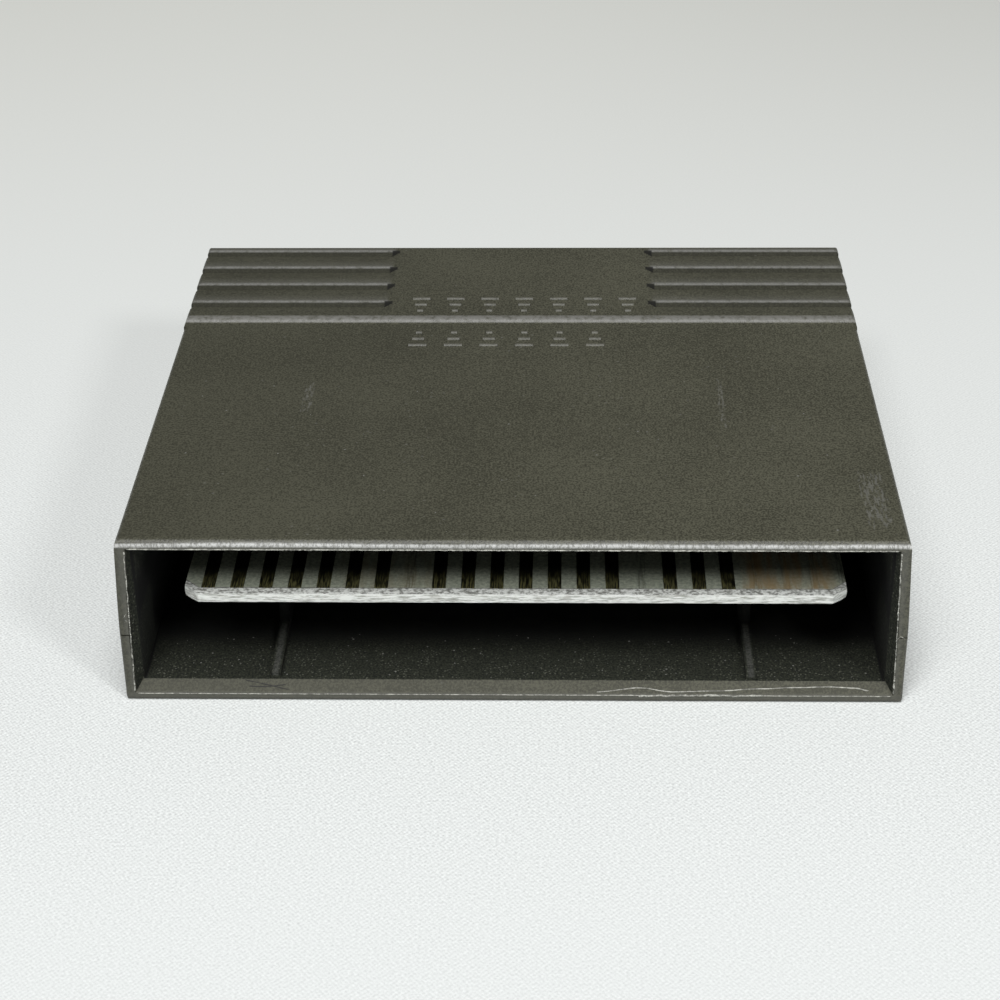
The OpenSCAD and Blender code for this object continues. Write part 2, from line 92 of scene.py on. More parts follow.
class Net:
    """A material's node tree with short calls for the nodes that the materials share."""

    def __init__(self, name):
        self.material = bpy.data.materials.new(name)
        self.material.use_nodes = True
        self.tree = self.material.node_tree
        self.shader = self.tree.nodes["Principled BSDF"]
        self.spot = self.node("ShaderNodeTexCoord").outputs["Object"]
        self.mm = self.vector("MULTIPLY", self.spot, (1 / MM, 1 / MM, 1 / MM))
        self.x, self.y, self.z = self.node("ShaderNodeSeparateXYZ", Vector=self.mm).outputs

    def node(self, kind, **inputs):
        made = self.tree.nodes.new(kind)
        for name, value in inputs.items():
            self.feed(made.inputs[name.replace("_", " ")], value)
        return made

    def feed(self, socket, value):
        if isinstance(value, bpy.types.NodeSocket):
            self.tree.links.new(value, socket)
        elif socket.type == "RGBA" and len(value) == 3:
            socket.default_value = (*value, 1)
        else:
            socket.default_value = value

    def math(self, operation, a, b=0.0):
        made = self.node("ShaderNodeMath")
        made.operation = operation
        self.feed(made.inputs[0], a)
        self.feed(made.inputs[1], b)
        return made.outputs[0]

    def vector(self, operation, a, b):
        made = self.node("ShaderNodeVectorMath")
        made.operation = operation
        self.feed(made.inputs[0], a)
        self.feed(made.inputs[1], b)
        return made.outputs[0]

    def add(self, a, b):
        return self.math("ADD", a, b)

    def minus(self, a, b):
        return self.math("SUBTRACT", a, b)

    def times(self, made, *others):
        for other in others:
            made = self.math("MULTIPLY", made, other)
        return made

    def outside(self, mask):
        return self.minus(1.0, mask)

    def either(self, *masks):
        made = masks[0]
        for mask in masks[1:]:
            made = self.math("MAXIMUM", made, mask)
        return made

    def step(self, value, low, high, out_low=0.0, out_high=1.0):
        """Rises smoothly from out_low to out_high as value goes from low to high."""
        made = self.node(
            "ShaderNodeMapRange", Value=value, From_Min=low, From_Max=high, To_Min=out_low, To_Max=out_high
        )
        made.interpolation_type = "SMOOTHSTEP"
        return made.outputs[0]

    def near(self, value, centre, half, soft):
        """1 within half of centre and 0 beyond half + soft."""
        away = self.math("ABSOLUTE", self.minus(value, centre))
        return self.step(away, half, half + soft, 1.0, 0.0)

    def between(self, value, low, high, soft):
        """1 from low to high and 0 where it is more than soft beyond them."""
        return self.near(value, (low + high) / 2, (high - low) / 2, soft)

    def past_nearest(self, value, first, pitch):
        """How far value lies past the nearest place of a row at that pitch, as a share of the pitch."""
        count = self.add(self.math("DIVIDE", self.minus(value, first), pitch), 0.5)
        return self.minus(self.math("FRACT", count), 0.5)

    def noise(self, size, detail=2.0, rough=0.5, stretch=(1, 1, 1), shift=0.0):
        """Noise from 0 to 1 whose features are about size millimetres across."""
        scaled = self.vector("MULTIPLY", self.mm, tuple(s / size for s in stretch))
        moved = self.vector("ADD", scaled, (shift, shift * 0.7, shift * 0.3))
        made = self.node("ShaderNodeTexNoise", Vector=moved, Scale=1.0, Detail=detail, Roughness=rough)
        return made.outputs["Fac"]

    def specks(self, size, share, shift=0.0):
        """Round specks about size millimetres apart, of which share of the spacing is speck."""
        scaled = self.vector("MULTIPLY", self.mm, (1 / size, 1 / size, 1 / size))
        moved = self.vector("ADD", scaled, (shift, shift, shift))
        made = self.node("ShaderNodeTexVoronoi", Vector=moved, Scale=1.0, Randomness=1.0)
        return self.step(made.outputs["Distance"], share * 0.6, share, 1.0, 0.0)

    def mix(self, factor, a, b):
        made = self.node("ShaderNodeMix")
        made.data_type = "RGBA"
        self.feed(made.inputs["Factor"], factor)
        self.feed(made.inputs["A"], a)
        self.feed(made.inputs["B"], b)
        return made.outputs["Result"]

    def blend(self, factor, a, b):
        made = self.node("ShaderNodeMix")
        self.feed(made.inputs["Factor"], factor)
        self.feed(made.inputs["A"], a)
        self.feed(made.inputs["B"], b)
        return made.outputs["Result"]

    def bump(self, height, depth, after=None):
        """Bump whose height of 1 is depth millimetres."""
        made = self.node("ShaderNodeBump", Strength=1.0, Distance=depth * MM, Height=height)
        if after:
            self.feed(made.inputs["Normal"], after)
        return made.outputs["Normal"]

    def finish(self, colour, roughness, normal=None, **fixed):
        self.feed(self.shader.inputs["Base Color"], colour)
        self.feed(self.shader.inputs["Roughness"], roughness)
        if normal:
            self.feed(self.shader.inputs["Normal"], normal)
        for name, value in fixed.items():
            self.shader.inputs[name.replace("_", " ")].default_value = value
        return self.material


def inside_mask(net, reach):
    """Faces of the hollow, and none of the outer faces."""
    within = net.step(reach, HALF_W - 1.25, HALF_W - 1.45)
    along = net.between(net.y, FRONT + 0.35, REAR - 1.55, 0.2)
    return net.times(within, along, net.between(net.z, WALL - 0.7, SHELL_TOP - 1.7, 0.3))


def bevel_mask(net):
    """Sloped lead-in between the sill and the floor of the mouth."""
    level = net.minus(net.z, net.times(net.minus(net.y, FRONT), (WALL - SILL) / BEVEL))
    ahead = net.step(net.y, FRONT + BEVEL + 0.05, FRONT + BEVEL - 0.1)
    return net.times(ahead, net.step(level, SILL + 0.12, SILL + 0.04))


def grip_masks(net, reach):
    """Crests, rising backs, valleys and end pits of the ridges of the finger grips."""
    past_crest = net.times(net.past_nearest(net.y, CREST_Y, GROOVE_PITCH), GROOVE_PITCH)
    behind_line = net.step(net.y, CREST_Y + 3.0, CREST_Y + 4.0)
    grips = net.times(behind_line, net.step(net.z, GRIP_TOP - 1.2, GRIP_TOP - 0.9))
    sides = net.times(grips, net.step(reach, PANEL_HALF_W + 0.2, PANEL_HALF_W + 0.9))
    high = net.step(net.z, GRIP_TOP - 0.45, GRIP_TOP - 0.15)
    crests = net.times(net.near(past_crest, 0.05, 0.25, 0.2), high, sides)
    shoulders = net.times(net.step(past_crest, 3.0, 0.0), net.step(past_crest, -0.1, 0.1), sides)
    valleys = net.times(net.near(past_crest, -0.66, 0.36, 0.22), sides)
    panel_edge = net.near(reach, PANEL_HALF_W + 0.4, 0.5, 0.3)
    pits = net.times(panel_edge, grips, net.near(past_crest, -0.6, 0.45, 0.3))
    return crests, shoulders, valleys, pits


def grainy_olive(net, pebble, grain):
    """Colour of the moulded plastic, with painted shade making it a little darker towards the left."""
    broad = net.noise(24.0, detail=3.0)
    tone = net.add(net.times(broad, 0.15), net.add(net.times(pebble, 0.15), net.times(grain, 0.7)))
    colour = net.mix(net.step(tone, 0.41, 0.59), (0.04, 0.0395, 0.0265), (0.1, 0.099, 0.0695))
    # Painted shade: the left of the part is darkened where less lamp light falls.
    return net.mix(net.step(net.x, 30.0, -52.0, 0.0, 0.3), colour, (0.035, 0.035, 0.024))


def relief_wear_and_painted_light(net, colour, grip_parts):
    """Pale wear with painted highlights on what stands up from the top, a painted sheen on the rising backs
    of the ridges, and painted shade in what lies low.
    """
    crests, shoulders, valleys, pits = grip_parts
    rubbed = net.step(net.noise(0.8, detail=3.0, rough=0.6, shift=5.0), 0.25, 0.6, 0.3, 1.0)
    line = net.times(
        net.near(net.y, LINE_Y + 1.05, 0.6, 0.4), net.step(net.z, SHELL_TOP + 0.02, SHELL_TOP + 0.25)
    )
    front_marks = net.times(
        net.between(net.y, 9.0, 16.2, 0.2), net.step(net.z, SHELL_TOP + 0.1, SHELL_TOP + 0.22)
    )
    rear_marks = net.step(net.z, GRIP_TOP + 0.1, GRIP_TOP + 0.22)
    marks = net.times(net.near(net.x, 0.0, 19.2, 0.3), net.either(front_marks, rear_marks))
    # Painted sheen: the rising back behind each crest is lightened towards the crest.
    colour = net.mix(net.times(shoulders, 0.3), colour, (0.15, 0.148, 0.135))
    # Painted shade in the valley just in front of each crest.
    colour = net.mix(net.times(valleys, 0.7), colour, (0.02, 0.02, 0.013))
    # Pale wear with a painted highlight along the crests of the grip ridges.
    colour = net.mix(net.times(crests, rubbed, 0.65), colour, (0.19, 0.188, 0.178))
    # Painted shade: the end pits of the grooves are painted near black.
    colour = net.mix(net.times(pits, 0.92), colour, (0.004, 0.004, 0.003))
    # Pale wear with a painted highlight on the rounded step of the insertion line.
    colour = net.mix(net.times(line, rubbed, 0.8), colour, (0.21, 0.208, 0.194))
    # Pale wear with painted highlights on the raised marks.
    return net.mix(net.times(marks, rubbed, 0.5), colour, (0.19, 0.188, 0.17))


def rim_wear_and_lip_highlight(net, colour, reach, bevel):
    """Pale fur along the lip, a painted highlight over real wear, and lighter edges round the mouth and on
    the bevel.
    """
    lip_z = net.add(net.z, net.times(net.minus(net.noise(22.0, shift=6.0), 0.5), 0.5))
    lip = net.times(net.step(net.y, FRONT + 1.0, FRONT + 0.6), net.near(lip_z, SHELL_TOP - 0.72, 0.08, 0.34))
    strands = net.noise(0.24, detail=3.0, rough=0.7, stretch=(1, 0.45, 0.45), shift=9.0)
    fur = net.step(strands, 0.36, 0.58, 0.4, 1.0)
    # Painted highlight over wear: the pale fur band lies where the lip's rounding catches the lamps.
    colour = net.mix(net.times(lip, fur, 0.97), colour, (0.7, 0.705, 0.69))
    rim_face = net.times(
        net.step(net.y, FRONT + 0.4, FRONT + 0.1), net.step(net.z, SHELL_TOP - 0.5, SHELL_TOP - 1.0)
    )
    inner_edge = net.times(rim_face, net.step(reach, HALF_W - 0.5, HALF_W - 1.3, 0.1, 0.45))
    sill_edge = net.times(rim_face, net.step(net.z, SILL + 0.3, SILL, 0.0, 0.5))
    colour = net.mix(net.either(inner_edge, sill_edge), colour, (0.13, 0.13, 0.115))
    return net.mix(net.times(bevel, 0.3), colour, (0.115, 0.115, 0.096))


def scuffed_top(net, colour):
    """Three scuffed patches on the top, and pale specks all over."""
    far_right = net.times(net.near(net.x, 49.4, 1.2, 2.6), net.near(net.y, -36.0, 6.0, 7.0))
    left_patch = net.times(net.near(net.x, -31.0, 0.3, 2.2), net.near(net.y, -6.0, 3.0, 8.0))
    mid_patch = net.times(net.near(net.x, 30.2, 0.2, 1.2), net.near(net.y, -8.0, 6.0, 8.0))
    scratched = net.noise(0.9, detail=4.0, rough=0.7, stretch=(2.2, 0.45, 1), shift=8.0)
    scuff = net.step(net.times(net.either(far_right, left_patch, mid_patch), scratched), 0.47, 0.58)
    on_top = net.step(net.z, SHELL_TOP - 0.2, SHELL_TOP - 0.1)
    colour = net.mix(net.times(scuff, on_top, 0.42), colour, (0.19, 0.19, 0.175))
    specks = net.times(net.specks(1.9, 0.13, shift=4.0), net.step(net.noise(9.0, shift=2.0), 0.46, 0.66))
    return net.mix(net.times(specks, 0.3), colour, (0.2, 0.2, 0.185))


def painted_shade_inside(net, reach, grain):
    """Plastic of the hollow painted dark as shade: dusty in front, painted black as shade behind and on the
    walls, painted lighter grey on the rail tops where light falls.
    """
    drifts = net.step(net.noise(2.5, detail=2.0, shift=3.0), 0.35, 0.6)
    dust = net.times(net.specks(0.5, 0.3, shift=1.0), drifts, net.step(net.y, FRONT + 16, FRONT + 4))
    # Painted shade: the hollow's plastic is a darkened copy of the outer plastic.
    dark = net.mix(net.step(grain, 0.4, 0.6), (0.004, 0.0055, 0.003), (0.024, 0.027, 0.017))
    dark = net.mix(net.times(dust, 0.5), dark, (0.17, 0.175, 0.14))
    chamfer = net.step(reach, HALF_W - 2.5, HALF_W - 2.3)
    walls = net.times(net.step(reach, HALF_W - 2.9, HALF_W - 2.6, 0.0, 0.97), net.outside(chamfer))
    behind = net.step(net.y, FRONT + 9, FRONT + 14, 0.0, 0.9)
    # Painted shade: near black behind and on the inner walls.
    dark = net.mix(net.either(walls, behind), dark, (0.0004, 0.0006, 0.0005))
    # Painted light: the rail tops are lighter where light falls on them.
    rail_tops = net.times(net.near(reach, RAIL_X, 0.2, 0.4), net.step(net.z, WALL + 0.3, WALL + 0.8))
    rails = net.times(rail_tops, net.between(net.y, FRONT + 1, FRONT + 1 + RAIL_LENGTH, 1.0))
    return net.mix(net.times(rails, net.step(grain, 0.35, 0.6, 0.3, 0.8)), dark, (0.07, 0.072, 0.065))


def shell_plastic():
    """Dark olive-grey plastic with a spark-eroded grain, rubbed pale on its edges, with painted highlights
    and sheen on the lip, crests, line and marks, painted shade in the grip valleys, pits and on the left,
    and painted near black inside as shade.
    """
    net = Net("shell_plastic")
    reach = net.math("ABSOLUTE", net.x)
    pebble = net.noise(0.95, detail=2.0, rough=0.6)
    grain = net.noise(0.3, detail=2.0, rough=0.65, shift=7.0)
    bevel = bevel_mask(net)
    inside = net.times(inside_mask(net, reach), net.outside(bevel))
    grip_parts = grip_masks(net, reach)
    colour = grainy_olive(net, pebble, grain)
    colour = relief_wear_and_painted_light(net, colour, grip_parts)
    colour = rim_wear_and_lip_highlight(net, colour, reach, bevel)
    colour = scuffed_top(net, colour)
    # Painted shade over the faces of the hollow.
    colour = net.mix(inside, colour, painted_shade_inside(net, reach, grain))
    _, _, valleys, pits = grip_parts
    dull = net.either(inside, valleys, pits, net.times(bevel, 0.8))
    roughness = net.blend(dull, net.add(0.34, net.times(grain, 0.14)), 0.92)
    normal = net.bump(grain, 0.05, net.bump(pebble, 0.03))
    return net.finish(colour, roughness, normal, Specular_IOR_Level=0.4)


def worn_plastic():
    """Plastic rubbed pale and rough along the edges of the mouth."""
    net = Net("worn_plastic")
    blotch = net.noise(1.1, detail=4.0, rough=0.65)
    fine = net.noise(0.25, detail=3.0, rough=0.7, shift=3.0)
    tone = net.add(net.times(blotch, 0.6), net.times(fine, 0.4))
    colour = net.mix(net.step(tone, 0.4, 0.6), (0.17, 0.17, 0.15), (0.6, 0.6, 0.54))
    return net.finish(colour, 0.6, net.bump(fine, 0.03))


def board_laminate():
    """Grey-green glass laminate, wiped by the socket at each contact and stained over the last ones."""
    net = Net("board_laminate")
    weave = net.noise(0.5, detail=3.0, rough=0.65)
    colour = net.mix(net.step(weave, 0.3, 0.7), (0.33, 0.365, 0.285), (0.58, 0.62, 0.5))
    along = net.past_nearest(net.x, FIRST_CONTACT_X, CONTACT_PITCH)
    wiped = net.times(
        net.step(net.math("ABSOLUTE", along), 0.2, 0.1),
        net.step(net.noise(0.5, detail=3.0, stretch=(2.5, 0.12, 1), shift=2.0), 0.4, 0.62),
    )
    colour = net.mix(net.times(wiped, 0.55), colour, (0.07, 0.07, 0.045))
    streak = net.noise(1.5, detail=3.0, rough=0.55, stretch=(1.3, 0.16, 1), shift=1.0)
    stained = net.times(net.near(net.x, 37.6, 5.0, 2.5), net.step(streak, 0.34, 0.66, 0.15, 1.0))
    colour = net.mix(net.times(stained, 0.75), colour, (0.46, 0.31, 0.14))
    warm = net.times(net.near(net.x, -17.0, 4.5, 4.0), net.step(streak, 0.35, 0.65))
    colour = net.mix(net.times(warm, 0.35), colour, (0.3, 0.22, 0.1))
    right_cut = net.minus(net.x, BOARD[1].x - CUT)
    left_cut = net.minus(BOARD[0].x + CUT, net.x)
    edge_y = net.minus(net.y, net.either(right_cut, left_cut, 0.0))
    nose_end = BOARD_FRONT + NOSE
    ragged_y = net.add(edge_y, net.times(net.noise(0.8, detail=3.0), 0.5))
    worn = net.step(ragged_y, nose_end + 0.65, nose_end + 0.25)
    mottle = net.step(net.noise(0.45, detail=3.0, rough=0.7, stretch=(0.6, 1, 1), shift=5.0), 0.36, 0.6)
    colour = net.mix(worn, colour, net.mix(mottle, (0.25, 0.255, 0.23), (0.9, 0.92, 0.88)))
    dark_line = net.near(edge_y, nose_end + 0.16, 0.06, 0.08)
    colour = net.mix(net.times(dark_line, 0.5), colour, (0.05, 0.05, 0.035))
    normal = net.bump(net.noise(0.35, detail=3.0, stretch=(1, 2, 3)), 0.06)
    return net.finish(colour, 0.6, normal)


def laminate_fibres():
    """Bare glass fibres on the worn edge of the board."""
    net = Net("laminate_fibres")
    strands = net.noise(0.3, detail=4.0, rough=0.65, stretch=(0.16, 0.16, 1.5))
    colour = net.mix(net.step(strands, 0.34, 0.56), (0.36, 0.365, 0.33), (0.9, 0.92, 0.88))
    dirt = net.step(net.noise(1.6, detail=3.0, shift=4.0), 0.58, 0.72)
    colour = net.mix(net.times(dirt, 0.3), colour, (0.32, 0.31, 0.26))
    return net.finish(colour, 0.7, net.bump(strands, 0.05))


def contact_gold():
    """Gold plating painted near black as the shade of the dark hollow mirrored in it, with olive wipe
    streaks at its front end that are partly a painted reflection of the lit mouth.
    """
    net = Net("contact_gold")
    streak = net.noise(0.4, detail=3.0, rough=0.6, stretch=(2.2, 0.16, 1))
    front = net.step(
        net.add(net.y, net.times(net.noise(0.6, stretch=(2, 0.3, 1), shift=3.0), 4.0)),
        BOARD_FRONT + 8.6, BOARD_FRONT + 4.2,
    )
    wiped = net.times(front, net.step(streak, 0.42, 0.62))
    # Painted reflection over real wipe streaks: near black for the dark hollow, olive at the front for the
    # lit mouth.
    colour = net.mix(wiped, (0.006, 0.006, 0.004), (0.19, 0.182, 0.075))
    roughness = net.blend(wiped, 0.4, 0.6)
    return net.finish(colour, roughness, net.bump(streak, 0.01), Metallic=0.15)


def chip_epoxy():
    """Moulded black epoxy with a fine matt grain."""
    net = Net("chip_epoxy")
    grain = net.noise(0.25, detail=3.0)
    colour = net.mix(grain, (0.012, 0.012, 0.013), (0.03, 0.03, 0.032))
    return net.finish(colour, net.add(0.45, net.times(grain, 0.2)), net.bump(grain, 0.01))


def tinned_metal():
    """Dull tinned metal with darker blotches."""
    net = Net("tinned_metal")
    blotch = net.noise(0.7, detail=3.0)
    colour = net.mix(blotch, (0.42, 0.42, 0.41), (0.7, 0.71, 0.72))
    return net.finish(colour, net.add(0.25, net.times(blotch, 0.3)), net.bump(blotch, 0.01), Metallic=1.0)


def capacitor_dip():
    """Ochre dipped ceramic with a waxy, uneven coat."""
    net = Net("capacitor_dip")
    coat = net.noise(1.4, detail=2.0)
    colour = net.mix(coat, (0.36, 0.19, 0.06), (0.52, 0.31, 0.12))
    return net.finish(colour, net.add(0.3, net.times(coat, 0.2)), net.bump(coat, 0.05))


def screw_steel():
    """Zinc-plated steel with fine scratches."""
    net = Net("screw_steel")
    scratch = net.noise(0.4, detail=4.0, stretch=(4, 0.5, 1))
    colour = net.mix(scratch, (0.3, 0.3, 0.3), (0.5, 0.5, 0.51))
    return net.finish(colour, net.add(0.28, net.times(scratch, 0.25)), net.bump(scratch, 0.01), Metallic=1.0)


def dust_grey():
    """Dull dust."""
    net = Net("dust_grey")
    colour = net.mix(net.noise(0.6, detail=2.0), (0.1, 0.1, 0.09), (0.24, 0.24, 0.22))
    return net.finish(colour, 0.9, net.bump(net.noise(0.1), 0.01))


def dress_nodes():
    """Gives each CAD node the material of its slot in the record."""
    makers = (
        shell_plastic, board_laminate, contact_gold, chip_epoxy, tinned_metal, capacitor_dip, screw_steel,
        worn_plastic, laminate_fibres, dust_grey
    )
    finishes = {maker.__name__: maker() for maker in makers}
    for part in frame["record"]["subparts"]:
        mesh = frame["nodes"][part["node"]].data
        mesh.materials.clear()
        mesh.materials.append(finishes[part["material_slot"]])
    return finishes


def new_piece(name, points, faces, material, smooth=False):
    """Adds a mesh given in millimetres that rides on the part."""
    mesh = bpy.data.meshes.new(name)
    mesh.from_pydata([Vector(p) * MM for p in points], [], faces)
    mesh.validate()
    mesh.update()
    mesh.materials.append(material)
    if smooth:
        mesh.shade_smooth()
    made = bpy.data.objects.new(name, mesh)
    bpy.context.scene.collection.objects.link(made)
    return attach(made, BODY)


def ripple(x, y, z, size):
    """Noise from -1 to 1 at a point, with features about size millimetres across."""
    return noise.noise(Vector((x / size, y / size, z / size)))


def new_strip(name, columns, rows, place, material):
    """Adds a net of rows by columns whose points place(u, v) gives for u and v from 0 to 1."""
    points = [place(i / columns, j / rows) for i in range(columns + 1) for j in range(rows + 1)]
    faces = []
    for i in range(columns):
        for j in range(rows):
            corner = i * (rows + 1) + j
            faces.append((corner, corner + rows + 1, corner + rows + 2, corner + 1))
    return new_piece(name, points, faces, material, smooth=True)


def new_thread(name, path, radius, material, sides=5):
    """Adds a thin round thread that runs along a path."""
    points, faces = [], []
    for i, spot in enumerate(path):
        before, after = Vector(path[max(i - 1, 0)]), Vector(path[min(i + 1, len(path) - 1)])
        way = (after - before).normalized()
        across = way.cross(Vector((0, 0, 1))).normalized()
        up = across.cross(way)
        thin = radius * (0.35 if i in (0, len(path) - 1) else 1.0 + 0.7 * ripple(*spot, 0.5))
        for k in range(sides):
            turn = 2 * math.pi * k / sides
            points.append(Vector(spot) + thin * (across * math.cos(turn) + up * math.sin(turn)))
    for i in range(len(path) - 1):
        for k in range(sides):
            a, b = i * sides + k, i * sides + (k + 1) % sides
            faces.append((a, b, b + sides, a + sides))
    faces.append(tuple(range(sides))[::-1])
    faces.append(tuple((len(path) - 1) * sides + k for k in range(sides)))
    return new_piece(name, points, faces, material, smooth=True)


def upper_half_w(z):
    """Half width of the upper shell at a height."""
    return HALF_W - (z - SEAM) * math.tan(DRAFT)


def add_lip_wear():
    """Roughed skin over the lip, in the shell's own plastic, that dips under it at its rear edge."""
    sunk, lift, fur_depth, tail = 0.02, 0.034, 0.012, 0.985
    arc = math.pi / 2 * LIP_R
    length = arc + RIM - LIP_R - sunk
    half = upper_half_w(SHELL_TOP) - 1.0

    def place(u, v):
        x, run = -half + 2 * half * u, v * length
        turn = min(run / LIP_R, math.pi / 2)
        out = Vector((0, -math.sin(turn), math.cos(turn)))
        spot = Vector((x, FRONT + LIP_R, SHELL_TOP - LIP_R - max(0.0, run - arc))) + out * LIP_R
        fur = ripple(x + 0.5 * run, run / 4, 0.0, 0.22) + 0.7 * ripple(x, run / 2, 7.0, 0.6)
        fade = min(1.0, v * 5, (1 - u) * 60, u * 60)
        height = fur_depth * fur + lift * fade if v < tail else 0.0
        return spot + out * (height - sunk)

    new_strip("lip_wear", 2200, 14, place, finishes["shell_plastic"])


def add_board_fibres():
    """Frayed glass fibres over the front face and the cut corners of the board."""
    low, high = BOARD_BOTTOM + 0.2, BOARD_TOP - 0.16
    left, right = BOARD[0].x, BOARD[1].x
    slope = CUT * math.sqrt(2)
    width = right - left - 2 * CUT
    total = width + 2 * slope

    def place(u, v):
        run, z = u * total, low + (high - low) * v
        if run < slope:
            spot = Vector((left + run / math.sqrt(2), BOARD_FRONT + CUT - run / math.sqrt(2), z))
            bend = 1 - run / slope
        elif run < slope + width:
            spot, bend = Vector((left + CUT + run - slope, BOARD_FRONT, z)), 0.0
        else:
            past = run - slope - width
            spot = Vector((right - CUT + past / math.sqrt(2), BOARD_FRONT + past / math.sqrt(2), z))
            bend = past / slope
        side = -1 if run < slope else 1
        out = Vector((side * min(1.0, bend * 6), -1, 0)).normalized()
        strand = ripple(run / 14, z, 1.0, 0.16) + 0.6 * ripple(run / 6, z, 4.0, 0.1)
        swell = 0.07 * math.sin(math.pi * v) + 0.03 * ripple(run, 0.0, 2.0, 1.5)
        return spot + out * (0.03 + swell + 0.04 * strand)

    new_strip("board_fibres", 900, 18, place, finishes["laminate_fibres"])


def add_mouth_edges():
    """Thin ragged edges round the mouth, with the chips at the seam and the chipped run of the sill."""
    top = SHELL_TOP - RIM

    def half(z):
        return MOUTH_HALF_W - max(0.0, z - SEAM) * math.tan(DRAFT)

    def ragged(start, end, count, wander):
        path = []
        for k in range(count + 1):
            share = k / count
            x, z = (a + (b - a) * share for a, b in zip(start, end))
            sway, rise = (wander * ripple(x, z, layer, 0.7) for layer in (1.0, 5.0))
            path.append((x + sway, FRONT + 0.02, z + rise))
        return path

    worn = finishes["worn_plastic"]
    corner = 0.4
    along_top = ragged((-half(top) + corner, top), (half(top) - corner, top), 900, 0.06)
    new_thread("edge_top", along_top, 0.09, worn)
    for side, name in ((-1, "left"), (1, "right")):
        upper_end, lower_end = (side * half(top), top - corner), (side * MOUTH_HALF_W, SILL + corner)
        new_thread(f"edge_{name}", ragged(upper_end, lower_end, 180, 0.08), 0.085, worn)
    along_sill = ragged((-MOUTH_HALF_W + corner, SILL), (MOUTH_HALF_W - corner, SILL), 900, 0.03)
    new_thread("edge_sill", along_sill, 0.055, worn)
    chipped_run = ragged((17.5, SILL - 0.07), (34.5, SILL + 0.04), 220, 0.16)
    new_thread("edge_chipped", chipped_run, 0.13, worn)
    right_chip = ((51.9, 10.1), (52.3, 10.7), (52.6, 11.0), (52.85, 10.85), (53.2, 10.6))
    left_chip = ((-52.4, 14.2), (-52.7, 13.7), (-52.6, 13.2), (-52.3, 12.9))
    for name, knots in (("chip_right", right_chip), ("chip_left", left_chip)):
        new_thread(name, [(x, FRONT, z) for x, z in knots], 0.05, worn)


def on_bevel(x, z, lift):
    """Point of the lower bevel at a height, raised by lift."""
    return x, FRONT + (z - SILL) * BEVEL / (WALL - SILL), z + lift


def add_sill_flash():
    """Pale moulding flash that wanders along the lower bevel."""
    knots = (
        (11.6, 1.38), (17.6, 1.74), (22.0, 1.41), (28.0, 1.5), (34.1, 1.7),
        (39.0, 1.82), (43.7, 1.89), (47.0, 1.8), (49.2, 1.57),
    )
    steps = 10
    path = []
    for (xa, za), (xb, zb) in zip(knots, knots[1:]):
        for k in range(steps):
            share = k / steps
            soft = share * share * (3 - 2 * share)
            waver = 0.02 * ripple(xa + 7 * share, 0.0, 0.0, 0.6)
            path.append(on_bevel(xa + (xb - xa) * share, za + (zb - za) * soft + waver, 0.01))
    new_thread("sill_flash", path, 0.085, finishes["worn_plastic"])


def add_hairs():
    """Fine dark hairs caught on the lower bevel."""
    hairs = (((-37.2, 2.28), (-34.4, 1.94), (-30.9, 1.44)), ((-36.6, 1.75), (-33.9, 1.62), (-31.5, 1.9)))
    steps = 24
    for n, knots in enumerate(hairs):
        path = []
        for k in range(steps + 1):
            share = k / steps
            weights = (1 - share) ** 2, 2 * share * (1 - share), share * share
            x, z = (sum(w * knot[axis] for w, knot in zip(weights, knots)) for axis in (0, 1))
            path.append(on_bevel(x, z, 0.04))
        new_thread(f"hair_{n}", path, 0.055, finishes["chip_epoxy"])


def add_dust():
    """Pale specks of dust on the floor of the mouth and on the top."""
    in_mouth, on_top = 170, 90
    draw = random.Random(SEED)
    points, faces = [], []
    for n in range(in_mouth + on_top):
        if n < in_mouth:
            x, y, z = draw.uniform(-49, 49), draw.uniform(FRONT + 2.2, FRONT + 13), WALL
        else:
            x, y, z = draw.uniform(-50, 50), draw.uniform(FRONT + 2, LINE_Y - 1), SHELL_TOP
        size = draw.choice((0.06, 0.08, 0.1, 0.16))
        ring = len(points)
        for dx, dy, dz in ((1, 0, 0), (0, 1, 0), (-1, 0, 0), (0, -1, 0), (0, 0, 0.5), (0, 0, -0.3)):
            reach = size * draw.uniform(0.6, 1.3)
            points.append((x + dx * reach, y + dy * reach, z + dz * reach + 0.01))
        for k in range(4):
            faces.append((ring + k, ring + (k + 1) % 4, ring + 4))
            faces.append((ring + (k + 1) % 4, ring + k, ring + 5))
    new_piece("dust", points, faces, finishes["dust_grey"])


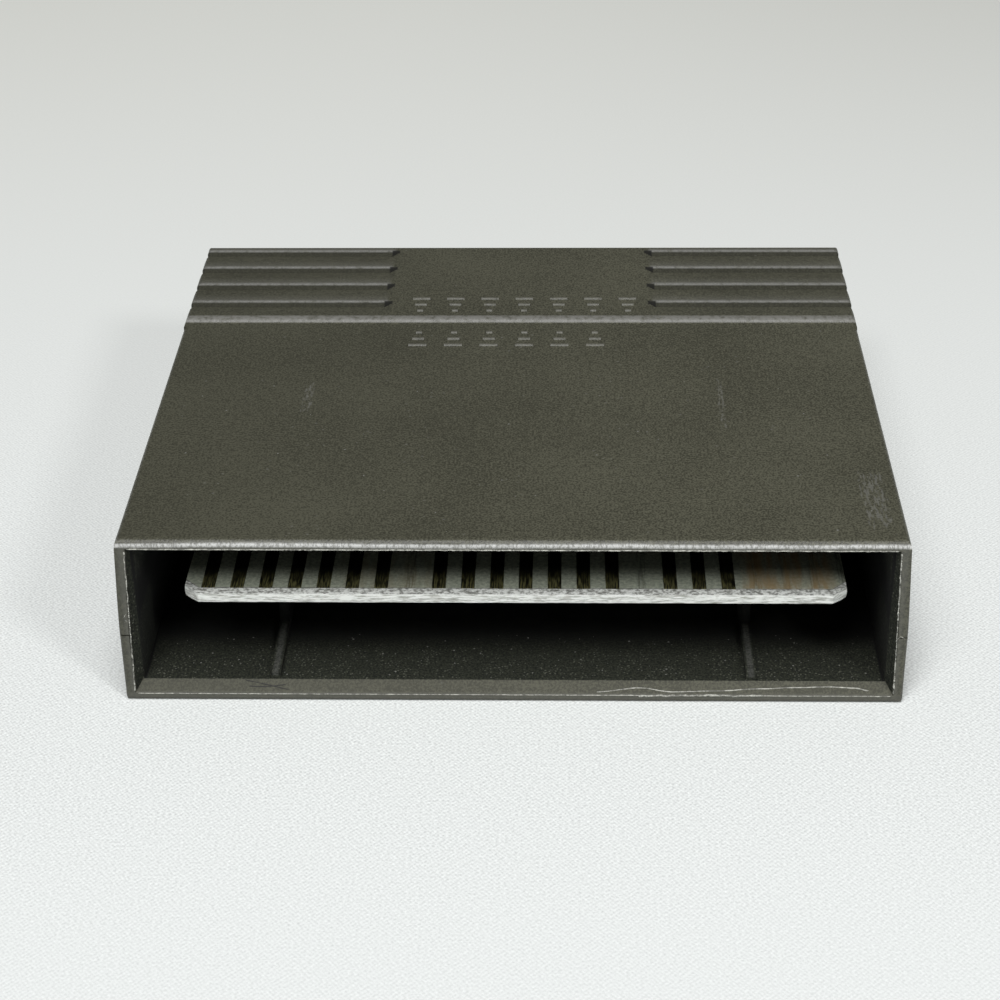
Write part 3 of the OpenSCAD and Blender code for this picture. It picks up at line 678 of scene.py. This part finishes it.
def floor_cloth():
    """Off-white cloth with a fine twill, with painted shade making it a little darker far behind the part.
    """
    net = Net("floor_cloth")
    pitch = 0.6
    drift = net.times(net.noise(4.0, detail=2.0), 3.0)
    twill_run = net.add(net.add(net.x, net.times(net.y, 0.8)), net.times(drift, 0.4))
    twill = net.math("SINE", net.times(twill_run, 2 * math.pi / pitch))
    cross_run = net.add(net.minus(net.x, net.y), net.times(drift, 0.3))
    cross = net.math("SINE", net.times(cross_run, 2 * math.pi / (pitch * 1.3)))
    fluff = net.minus(net.noise(0.4, detail=3.0, rough=0.7), 0.5)
    cloth = net.add(net.times(net.add(twill, cross), 0.16), net.times(fluff, 3.2))
    close = net.times(net.step(net.y, 100.0, -45.0, 0.12, 1.0), net.step(net.y, -110.0, -60.0, 0.5, 1.0))
    cloth = net.times(cloth, close)
    # Painted shade: the cloth darkens far behind the part, where less lamp light reaches.
    far = net.step(net.y, -40.0, 330.0)
    colour = net.mix(far, (0.80, 0.825, 0.815), (0.78, 0.79, 0.745))
    # Painted shade: darker again towards the right far behind the part.
    dimmer = net.times(far, net.step(net.x, -60.0, 160.0, 0.0, 0.1))
    shade = net.minus(net.add(1.0, net.times(cloth, 0.3)), dimmer)
    grey = net.node("ShaderNodeCombineXYZ", X=shade, Y=shade, Z=shade).outputs[0]
    colour = net.vector("MULTIPLY", colour, grey)
    return net.finish(colour, 0.9, net.bump(cloth, 0.03), Specular_IOR_Level=0.2)


def add_floor():
    """Plain pale floor under and behind the part."""
    half = 3000
    corners = [(-half, -half, 0), (half, -half, 0), (half, half, 0), (-half, half, 0)]
    mesh = bpy.data.meshes.new("floor")
    mesh.from_pydata([Vector(c) * MM for c in corners], [], [(0, 1, 2, 3)])
    mesh.materials.append(floor_cloth())
    made = bpy.data.objects.new("floor", mesh)
    bpy.context.scene.collection.objects.link(made)


def add_lamp(name, turn, rise, size, power):
    """Round area lamp aimed at the part, turned from the front towards +X and raised by some degrees."""
    distance = 1.5
    turn, rise = math.radians(turn), math.radians(rise)
    way = Vector((math.sin(turn) * math.cos(rise), -math.cos(turn) * math.cos(rise), math.sin(rise)))
    light = bpy.data.lights.new(name, "AREA")
    light.shape = "DISK"
    light.size = size
    light.energy = power
    made = bpy.data.objects.new(name, light)
    made.location = way * distance
    made.rotation_mode = "QUATERNION"
    made.rotation_quaternion = (-way).to_track_quat("-Z", "Y")
    bpy.context.scene.collection.objects.link(made)


def add_light():
    """A small key lamp, a broad soft one, a large one overhead and a little light from the room."""
    world = bpy.data.worlds.new("room")
    world.use_nodes = True
    background = world.node_tree.nodes["Background"]
    background.inputs["Color"].default_value = (1.0, 1.0, 1.0, 1)
    background.inputs["Strength"].default_value = ROOM
    bpy.context.scene.world = world
    add_lamp("key", 40.4, 38, 0.28, KEY_WATTS)
    add_lamp("broad", -20, 54, 0.6, BROAD_WATTS)
    add_lamp("overhead", 0, 72, 0.75, OVERHEAD_WATTS)


def add_camera():
    """Camera at the photograph's viewpoint, found from the corners of the shell."""
    place = Vector((6.56, -303.97, 182.09))
    turn, down, roll = math.radians(1.772), math.radians(30.281), math.radians(-0.772)
    data = bpy.data.cameras.new("photo_view")
    data.sensor_width = 36
    data.lens = 81.57
    data.clip_start, data.clip_end = 0.01, 20
    camera = bpy.data.objects.new("photo_view", data)
    camera.matrix_world = (
        Matrix.Translation(place * MM)
        @ Matrix.Rotation(turn, 4, "Z")
        @ Matrix.Rotation(math.pi / 2 - down, 4, "X")
        @ Matrix.Rotation(roll, 4, "Z")
    )
    bpy.context.scene.collection.objects.link(camera)
    bpy.context.scene.camera = camera


bpy.context.scene.view_settings.view_transform = "Standard"
finishes = dress_nodes()
add_lip_wear()
add_mouth_edges()
add_board_fibres()
add_sill_flash()
add_hairs()
add_dust()
add_floor()
add_light()
add_camera()
